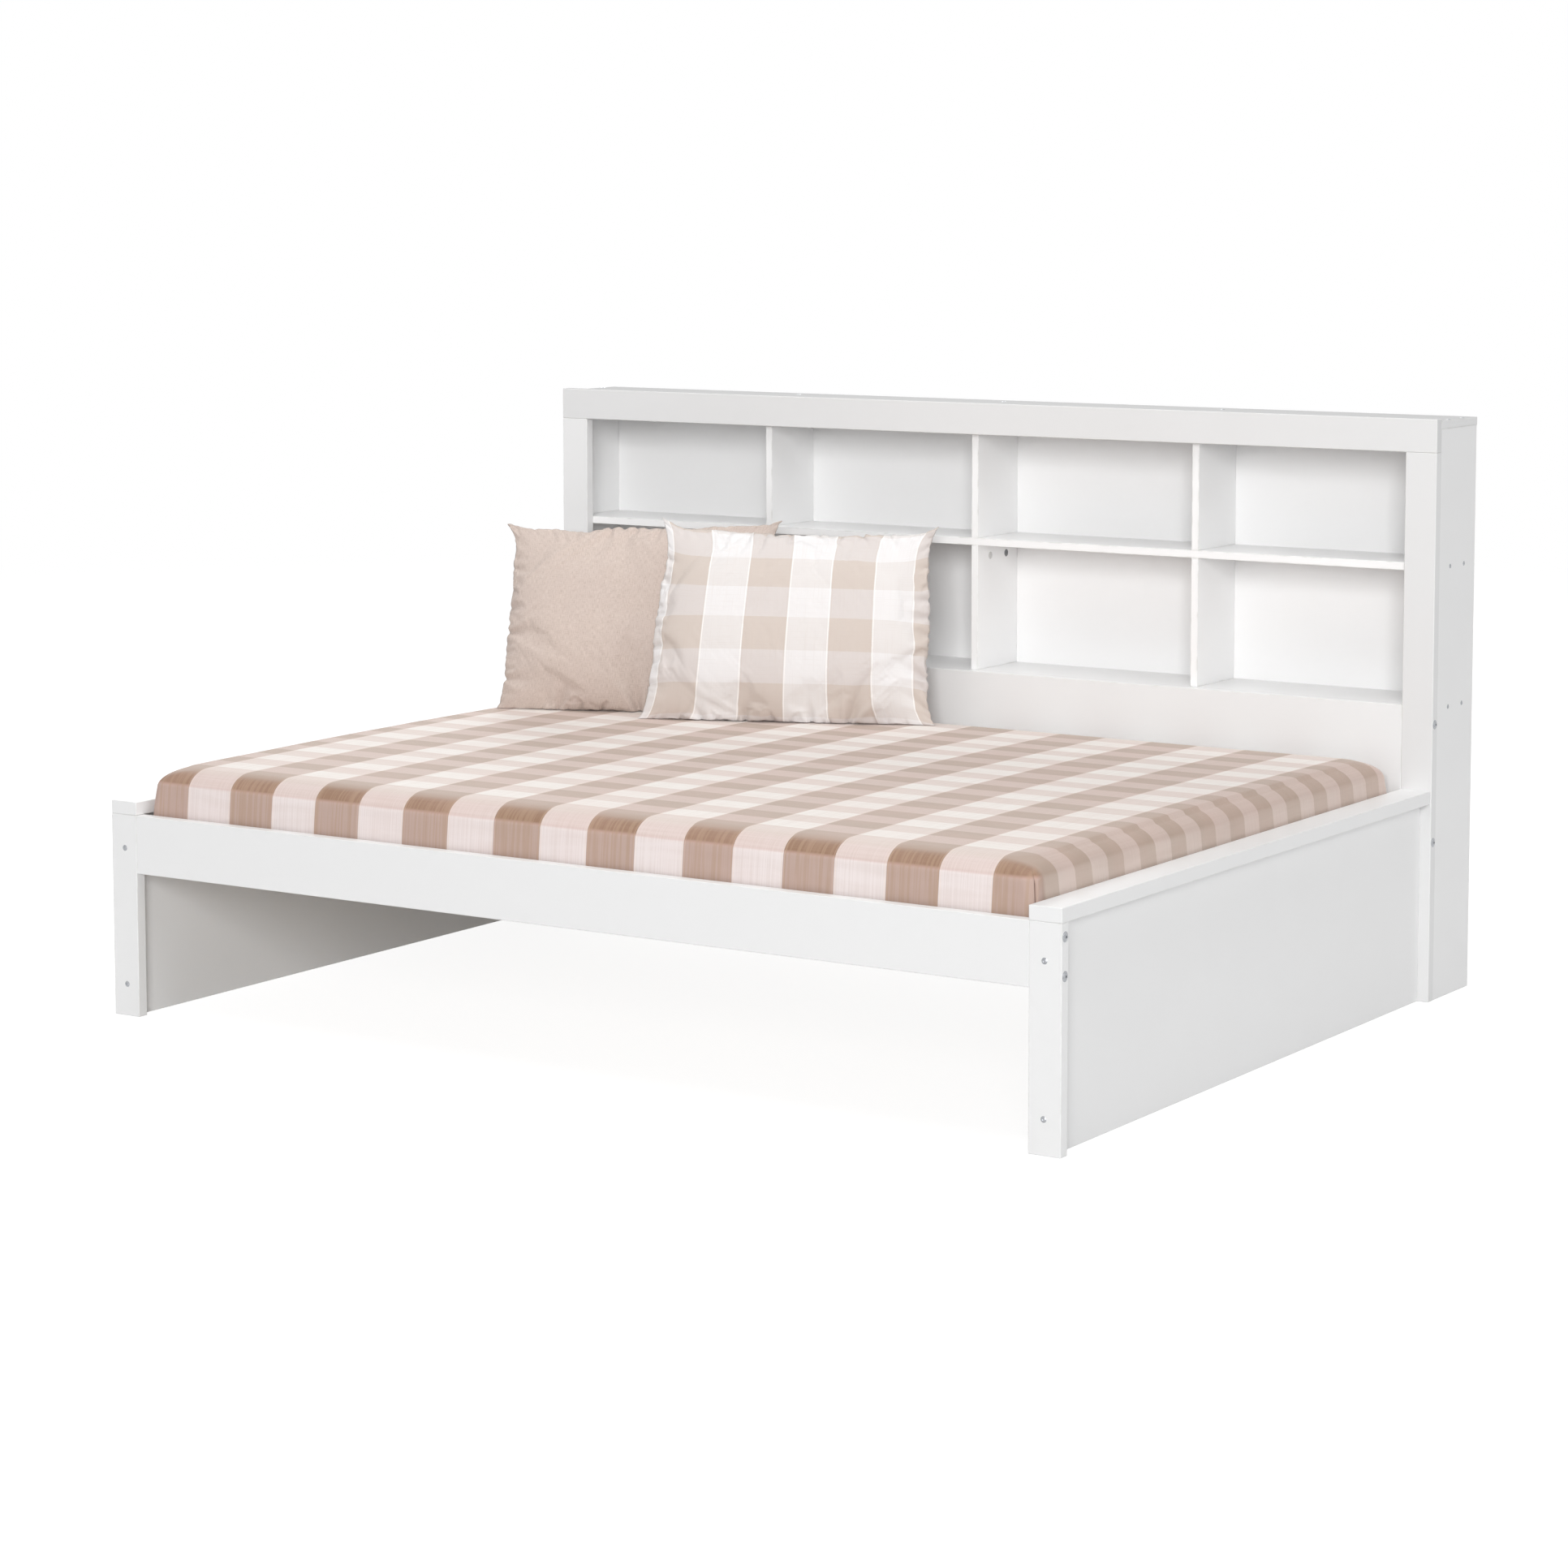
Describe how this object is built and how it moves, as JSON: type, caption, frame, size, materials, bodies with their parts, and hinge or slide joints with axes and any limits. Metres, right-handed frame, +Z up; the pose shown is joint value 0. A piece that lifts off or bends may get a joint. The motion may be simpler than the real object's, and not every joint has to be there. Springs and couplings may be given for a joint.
{
  "type": "bookcase headboard bed",
  "caption": "Low daybed with flat painted end panels, slatted base, sheeted mattress, loose pillows and an open cubby bookcase along one long side.",
  "frame": {"origin": "on the floor under the middle of the whole bed", "axes": "+X along the bookcase, to the right seen from the open front; +Y towards the bookcase; +Z up"},
  "size_m": [2.0328, 1.6104, 1.108],
  "materials": {
    "white_paint": "satin white paint",
    "slat_wood": "planed softwood, unfinished",
    "zinc_steel": "zinc plated",
    "cast_zinc": "die-cast zinc",
    "webbing": "woven webbing",
    "ticking": "plain woven cover",
    "gingham_cotton": "woven cotton, wide beige gingham",
    "linen": "coarse plain linen weave",
    "check_cotton": "woven cotton, wide beige and white check"
  },
  "bodies": {
    "frame": {"front_rail": "white_paint", "post_left": "white_paint", "post_right": "white_paint", "end_panel_left": "white_paint", "end_panel_right": "white_paint", "cap_rail_left": "white_paint", "cap_rail_right": "white_paint", "top_rail": "white_paint", "back_rail": "white_paint", "stile_left": "white_paint", "stile_right": "white_paint", "top_board": "white_paint", "side_panel_left": "white_paint", "side_panel_right": "white_paint", "shelf_middle": "white_paint", "shelf_bottom": "white_paint", "divider_upper_left": "white_paint", "divider_upper_centre": "white_paint", "divider_upper_right": "white_paint", "divider_lower_left": "white_paint", "divider_lower_centre": "white_paint", "divider_lower_right": "white_paint", "back_panel": "white_paint", "cleat_front": "slat_wood", "cleat_rear": "slat_wood", "centre_beam": "slat_wood", "slat_01": "slat_wood", "slat_02": "slat_wood", "slat_03": "slat_wood", "slat_04": "slat_wood", "slat_05": "slat_wood", "slat_06": "slat_wood", "slat_07": "slat_wood", "slat_08": "slat_wood", "slat_09": "slat_wood", "slat_10": "slat_wood", "slat_11": "slat_wood", "slat_12": "slat_wood", "divider_dowels": "slat_wood", "cap_dowels": "slat_wood", "face_frame_dowels": "slat_wood", "beam_bracket_left": "zinc_steel", "beam_bracket_right": "zinc_steel", "panel_screws": "zinc_steel", "rail_bolts": "zinc_steel", "stile_bolts": "zinc_steel", "barrel_nuts": "zinc_steel", "side_panel_screws": "zinc_steel", "top_board_screws": "zinc_steel", "shelf_cam_pins": "zinc_steel", "divider_screws": "zinc_steel", "cleat_screws": "zinc_steel", "bracket_screws": "zinc_steel", "back_panel_pins": "zinc_steel", "shelf_cam_locks": "cast_zinc", "slat_straps": "webbing"},
    "mattress": {"mattress": "ticking", "fitted_sheet": "gingham_cotton"},
    "rear_pillow": {"pillow_linen": "linen"},
    "front_pillow": {"pillow_check": "check_cotton"}
  },
  "joints": [
    {"name": "mattress_lift", "type": "slide", "parent": "frame", "child": "mattress", "axis": [0, 0, 1], "range_m": [0, 0.25]},
    {"name": "rear_pillow_lift", "type": "slide", "parent": "mattress", "child": "rear_pillow", "axis": [0, 0, 1], "range_m": [0, 0.42]},
    {"name": "front_pillow_lift", "type": "slide", "parent": "rear_pillow", "child": "front_pillow", "axis": [0, 0, 1], "range_m": [0, 0.42]}
  ]
}
